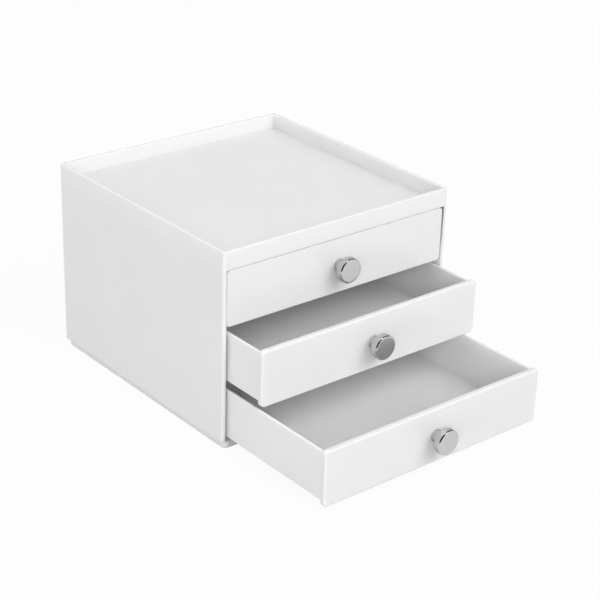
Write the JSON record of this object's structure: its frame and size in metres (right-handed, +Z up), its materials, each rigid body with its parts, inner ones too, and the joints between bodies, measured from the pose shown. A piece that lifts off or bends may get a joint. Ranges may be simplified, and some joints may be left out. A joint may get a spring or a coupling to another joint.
{
  "type": "three-drawer desk organizer",
  "caption": "Square glossy white plastic desk organizer with stacked sliding drawers, round chrome knobs and a rimmed tray top on an inset foot.",
  "frame": {"origin": "under the middle of the housing, on the flat underside of the foot", "axes": "+X to the right, +Y to the back, +Z up; the drawers open towards -Y"},
  "size_m": [0.165, 0.2614, 0.121],
  "materials": {
    "white_plastic": "glossy moulded white",
    "knob_chrome": "polished, with a faintly turned face",
    "screw_steel": "plain zinc plated"
  },
  "bodies": {
    "housing": {"housing_shell": "white_plastic", "back_panel": "white_plastic", "base": "white_plastic", "upper_shelf": "white_plastic", "lower_shelf": "white_plastic"},
    "top_drawer": {"top_tray": "white_plastic", "top_front": "white_plastic", "top_knob": "knob_chrome", "top_screw": "screw_steel"},
    "middle_drawer": {"middle_tray": "white_plastic", "middle_front": "white_plastic", "middle_knob": "knob_chrome", "middle_screw": "screw_steel"},
    "bottom_drawer": {"bottom_tray": "white_plastic", "bottom_front": "white_plastic", "bottom_knob": "knob_chrome", "bottom_screw": "screw_steel"}
  },
  "joints": [
    {"name": "top_drawer_slide", "type": "slide", "parent": "housing", "child": "top_drawer", "axis": [0, -1, 0], "range_m": [0, 0.125]},
    {"name": "middle_drawer_slide", "type": "slide", "parent": "housing", "child": "middle_drawer", "axis": [0, -1, 0], "range_m": [-0.032, 0.093]},
    {"name": "bottom_drawer_slide", "type": "slide", "parent": "housing", "child": "bottom_drawer", "axis": [0, -1, 0], "range_m": [-0.0865, 0.0385]}
  ]
}
